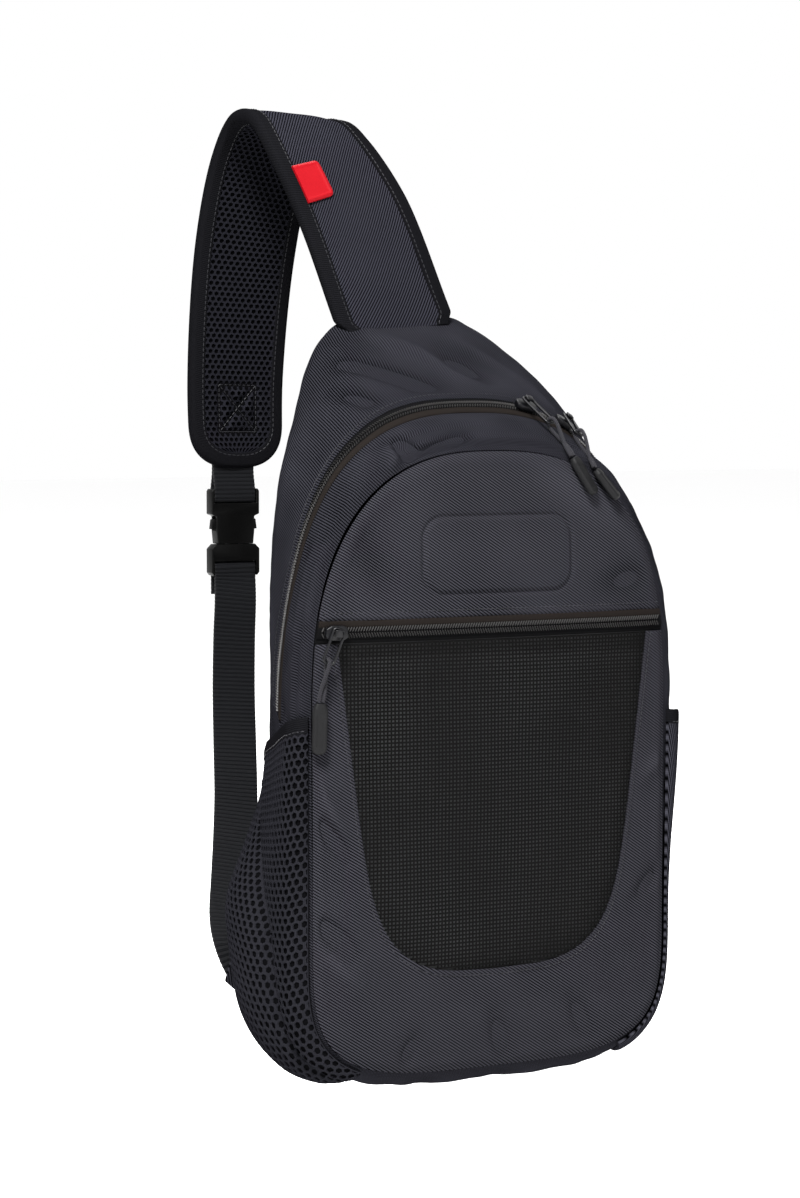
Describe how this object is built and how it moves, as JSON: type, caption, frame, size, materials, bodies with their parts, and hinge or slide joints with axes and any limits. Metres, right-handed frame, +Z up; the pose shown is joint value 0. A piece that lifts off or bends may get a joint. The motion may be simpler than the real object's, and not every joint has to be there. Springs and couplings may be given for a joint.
{
  "type": "fishing tackle sling bag",
  "caption": "Teardrop sling bag with an arched main zip, a mesh-fronted zip pocket, open side pockets and a padded shoulder strap with a buckle and webbing",
  "frame": {"origin": "underside of the shoulder strap at the top of its loop, where the bag hangs", "axes": "+Z up, the bag's front faces -Y, +X runs across the bag to its right side as seen from the front"},
  "size_m": [0.2805, 0.2424, 0.583],
  "materials": {
    "shell_cloth": "dark charcoal coated cloth with a fine twill",
    "pocket_cloth": "dark charcoal coated cloth",
    "mesh_cloth": "black open mesh",
    "binding_tape": "black ribbed tape and webbing",
    "zip_tape": "black zip tape with nylon coil teeth",
    "buckle_plastic": "black moulded plastic",
    "slider_metal": "black painted metal",
    "grip_rubber": "black moulded rubber",
    "tab_rubber": "red moulded rubber"
  },
  "bodies": {
    "root": {"back_panel": "shell_cloth", "rear_shell": "shell_cloth", "front_gusset": "shell_cloth", "main_zip": "zip_tape", "front_panel": "shell_cloth", "pocket_zip": "zip_tape", "front_frame": "shell_cloth", "window_mesh": "mesh_cloth", "pocket_back": "mesh_cloth", "left_pocket": "mesh_cloth", "left_pocket_binding": "binding_tape", "right_pocket": "pocket_cloth", "right_pocket_binding": "binding_tape", "shoulder_strap": "shell_cloth", "strap_lining": "mesh_cloth", "strap_binding": "binding_tape", "strap_tab": "tab_rubber", "strap_end_loop": "binding_tape", "strap_webbing": "binding_tape", "webbing_anchor": "shell_cloth", "buckle_socket": "buckle_plastic", "buckle_plug": "buckle_plastic", "main_pull_left_slider": "slider_metal", "main_pull_left_wire": "slider_metal", "main_pull_left_cord": "binding_tape", "main_pull_left_grip": "grip_rubber", "main_pull_right_slider": "slider_metal", "main_pull_right_wire": "slider_metal", "main_pull_right_cord": "binding_tape", "main_pull_right_grip": "grip_rubber", "pocket_pull_slider": "slider_metal", "pocket_pull_wire": "slider_metal", "pocket_pull_cord": "binding_tape", "pocket_pull_grip": "grip_rubber"}
  },
  "joints": []
}
